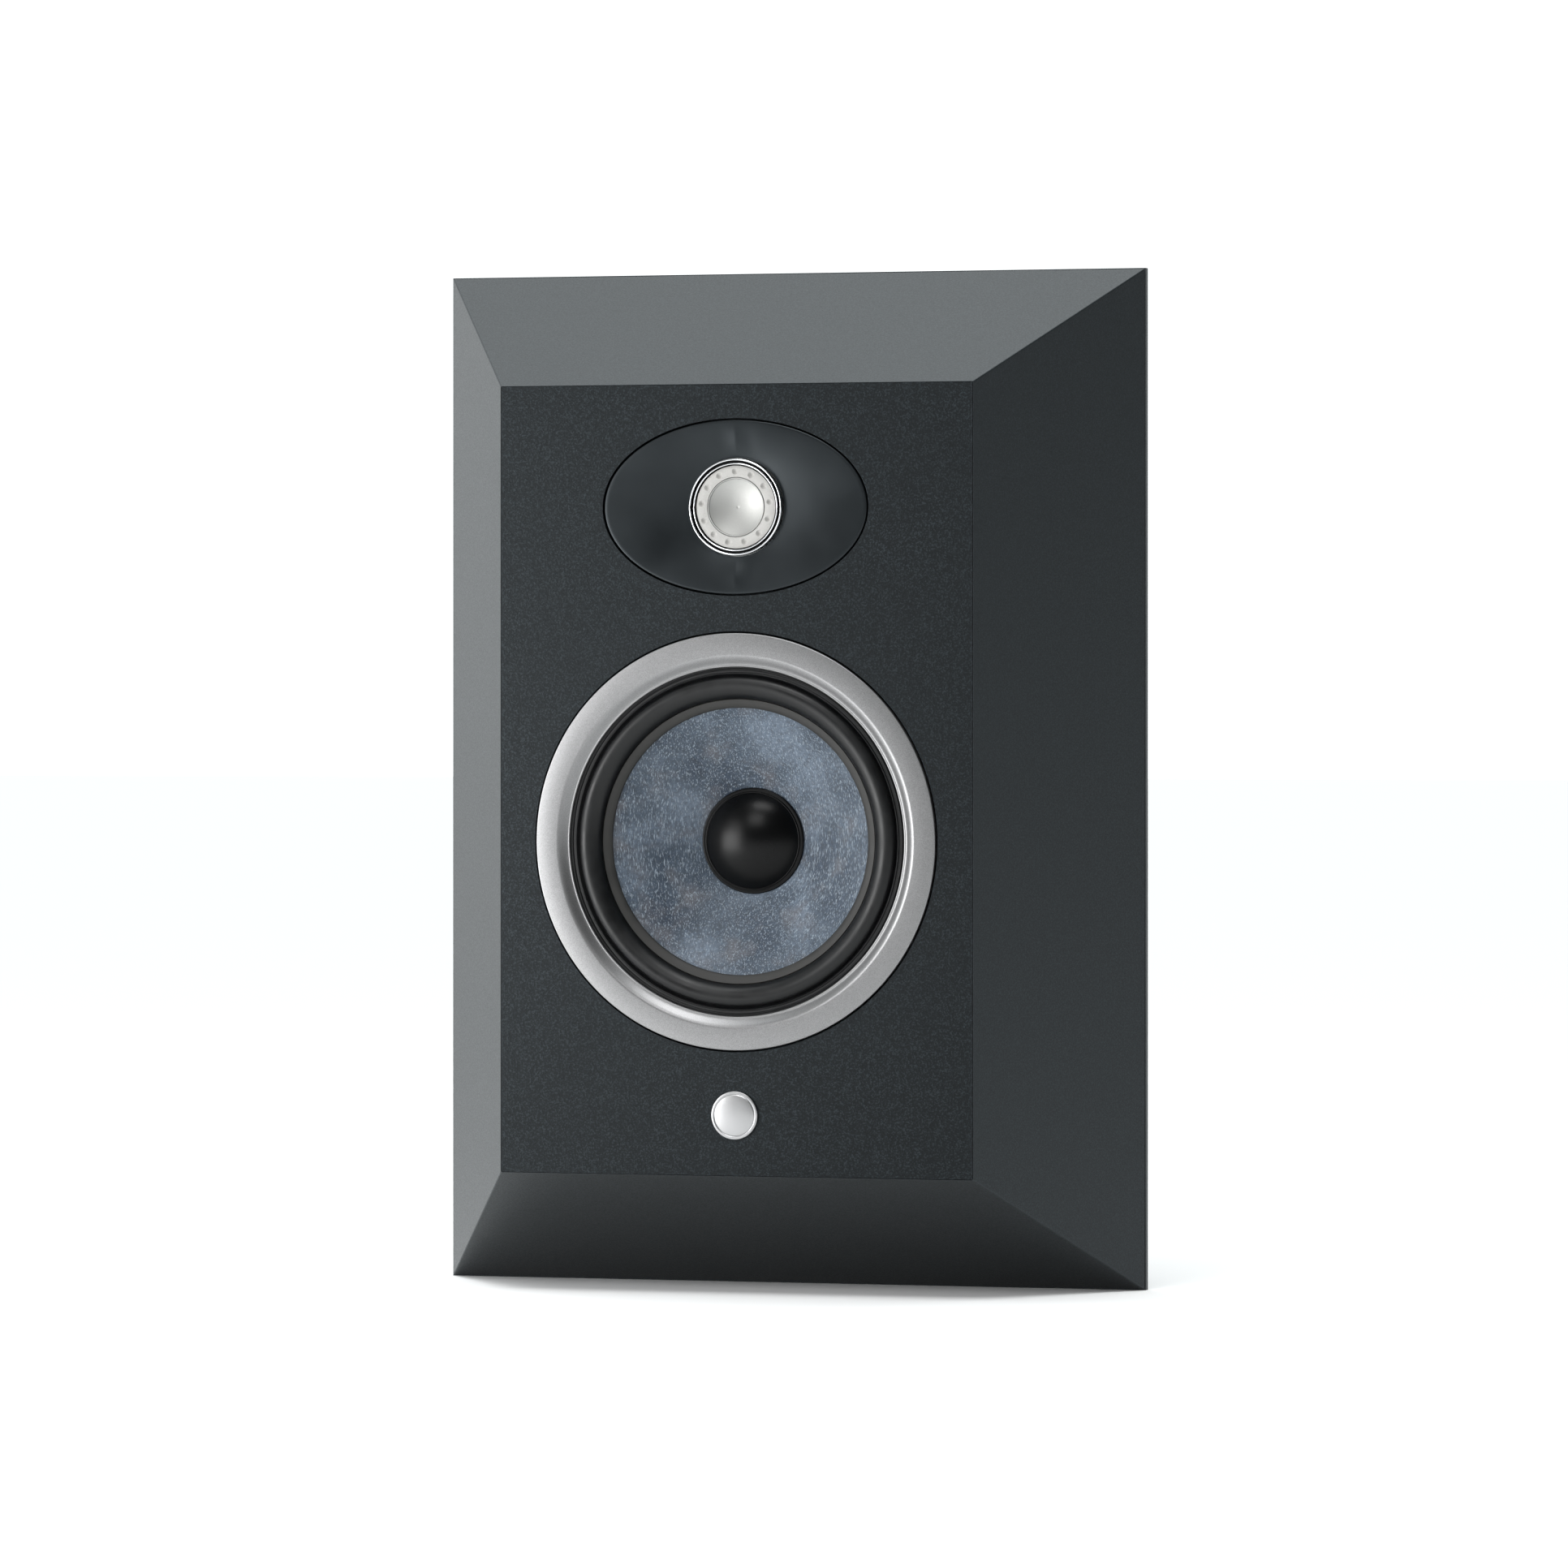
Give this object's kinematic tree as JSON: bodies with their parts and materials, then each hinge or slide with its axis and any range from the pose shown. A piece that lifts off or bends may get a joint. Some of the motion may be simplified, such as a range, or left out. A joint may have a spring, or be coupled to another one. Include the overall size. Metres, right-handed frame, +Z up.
{
  "type": "on-wall loudspeaker",
  "caption": "Passive two-way on-wall loudspeaker: bevelled cabinet narrowing to a flat baffle, cone woofer in a silver ring, inverted-dome tweeter in an oval plate.",
  "frame": {"origin": "middle of the back panel's rear face, which lies on the wall", "axes": "+X right as seen from the room, +Y into the wall, +Z up; the drivers face -Y"},
  "size_m": [0.301, 0.0895, 0.42],
  "materials": {
    "textured_vinyl": "black grained vinyl wrap on MDF, satin",
    "bevel_vinyl": "black fine-grained vinyl wrap on MDF, satin",
    "back_vinyl": "black vinyl wrap on MDF, matt",
    "badge_metal": "polished",
    "wadding": "loose white fibre",
    "faceplate": "smooth satin black",
    "chrome_ring": "bright",
    "suspension_foam": "light grey microcell foam",
    "dome_metal": "satin",
    "coil_copper": "enamelled copper wire",
    "zinc_steel": "zinc plated",
    "ferrite": "matt dark grey",
    "black_plastic": "satin moulded",
    "satin_silver": "satin silver",
    "gasket_foam": "closed-cell foam",
    "basket_paint": "satin black",
    "surround_rubber": "satin",
    "fibre_cone": "blue-grey fibre pulp",
    "dust_cap": "satin black",
    "coil_former": "amber film",
    "spider_cloth": "resin-dipped yellow cloth",
    "fibre_strip": "pressed fibre",
    "tinsel": "braided copper",
    "screw_steel": "black zinc",
    "gold_brass": "gold plated",
    "red_plastic": "gloss",
    "board_resin": "green solder mask",
    "capacitor_film": "gloss",
    "resistor_ceramic": "matt white",
    "cable_jacket": "satin"
  },
  "bodies": {
    "cabinet": {"front_baffle": "textured_vinyl", "left_side_panel": "bevel_vinyl", "right_side_panel": "bevel_vinyl", "top_panel": "bevel_vinyl", "bottom_panel": "bevel_vinyl", "back_panel": "back_vinyl", "badge": "badge_metal", "acoustic_wadding": "wadding", "tweeter_faceplate": "faceplate", "tweeter_trim_ring": "chrome_ring", "tweeter_suspension": "suspension_foam", "tweeter_top_plate": "zinc_steel", "tweeter_magnet": "ferrite", "tweeter_yoke": "zinc_steel", "tweeter_rear_cup": "black_plastic", "woofer_trim_ring": "satin_silver", "woofer_gasket": "gasket_foam", "woofer_basket": "basket_paint", "woofer_surround": "surround_rubber", "woofer_spider": "spider_cloth", "woofer_top_plate": "zinc_steel", "woofer_magnet": "ferrite", "woofer_yoke": "zinc_steel", "woofer_tag_strip": "fibre_strip", "tinsel_lead_upper": "tinsel", "tinsel_lead_lower": "tinsel", "woofer_screw_1": "screw_steel", "woofer_screw_2": "screw_steel", "woofer_screw_3": "screw_steel", "woofer_screw_4": "screw_steel", "terminal_cup": "black_plastic", "post_stud_red": "gold_brass", "post_stud_black": "gold_brass", "post_collar_red": "red_plastic", "post_collar_black": "black_plastic", "cup_screw_1": "screw_steel", "cup_screw_2": "screw_steel", "cup_screw_3": "screw_steel", "cup_screw_4": "screw_steel", "hanger_plate": "zinc_steel", "hanger_screw_left": "screw_steel", "hanger_screw_right": "screw_steel", "crossover_board": "board_resin", "inductor_woofer": "coil_copper", "inductor_tweeter": "coil_copper", "capacitor": "capacitor_film", "resistor": "resistor_ceramic", "input_cable": "cable_jacket", "woofer_cable": "cable_jacket", "tweeter_cable": "cable_jacket"},
    "woofer_cone": {"woofer_cone": "fibre_cone", "woofer_dust_cap": "dust_cap", "woofer_coil_former": "coil_former", "woofer_coil_winding": "coil_copper"},
    "tweeter_dome": {"tweeter_dome": "dome_metal", "tweeter_voice_coil": "coil_copper"},
    "red_washer": {"post_washer_red": "gold_brass"},
    "red_knob": {"post_knob_red": "red_plastic"},
    "black_washer": {"post_washer_black": "gold_brass"},
    "black_knob": {"post_knob_black": "black_plastic"}
  },
  "joints": [
    {"name": "woofer_excursion", "type": "slide", "parent": "cabinet", "child": "woofer_cone", "axis": [0, 1, 0], "range_m": [-0.005, 0.005], "stiffness_N_per_m": 1200, "deforming": ["woofer_surround", "woofer_spider", "tinsel_lead_upper", "tinsel_lead_lower"]},
    {"name": "tweeter_excursion", "type": "slide", "parent": "cabinet", "child": "tweeter_dome", "axis": [0, 1, 0], "range_m": [-0.0005, 0.0005], "stiffness_N_per_m": 600, "deforming": ["tweeter_suspension"]},
    {"name": "red_knob_lift", "type": "slide", "parent": "cabinet", "child": "red_washer", "axis": [0, 1, 0], "range_m": [0, 0.004]},
    {"name": "red_knob_turn", "type": "hinge", "parent": "red_washer", "child": "red_knob", "pos_m": [-0.013, -0.0145, -0.132], "axis": [0, 1, 0], "range_deg": [0, 1800]},
    {"name": "black_knob_lift", "type": "slide", "parent": "cabinet", "child": "black_washer", "axis": [0, 1, 0], "range_m": [0, 0.004]},
    {"name": "black_knob_turn", "type": "hinge", "parent": "black_washer", "child": "black_knob", "pos_m": [0.013, -0.0145, -0.132], "axis": [0, 1, 0], "range_deg": [0, 1800]}
  ],
  "couplings": [
    {"joint": "red_knob_turn", "follows": "red_knob_lift", "rad_per_m": 7854},
    {"joint": "black_knob_turn", "follows": "black_knob_lift", "rad_per_m": 7854}
  ]
}
